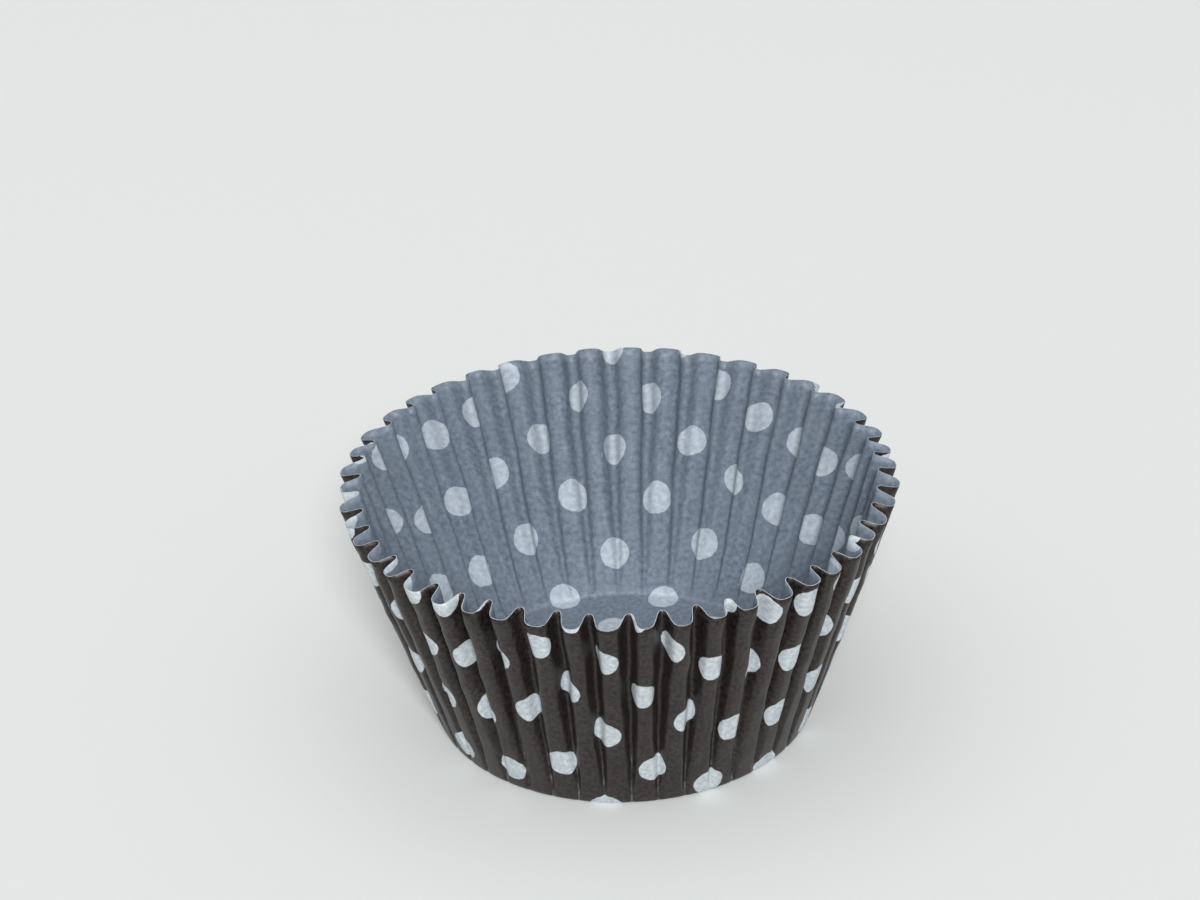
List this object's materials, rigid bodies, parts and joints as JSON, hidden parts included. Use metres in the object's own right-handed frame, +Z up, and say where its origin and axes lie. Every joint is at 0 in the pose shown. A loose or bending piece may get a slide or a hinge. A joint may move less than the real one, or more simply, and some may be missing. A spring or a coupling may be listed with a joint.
{
  "type": "cupcake liner",
  "caption": "Paper baking cup with a flat round base and a flared wall of fine pleats, dark outside with pale polka dots and plain inside.",
  "frame": {"origin": "centre of the base, on the surface the liner stands on", "axes": "+Z up, out of the mouth; the picture's camera is on the -Y side"},
  "size_m": [0.0722, 0.0724, 0.0341],
  "materials": {
    "printed_paper": "matt greaseproof paper, printed on the outside"
  },
  "bodies": {
    "root": {"liner": "printed_paper"}
  },
  "joints": []
}
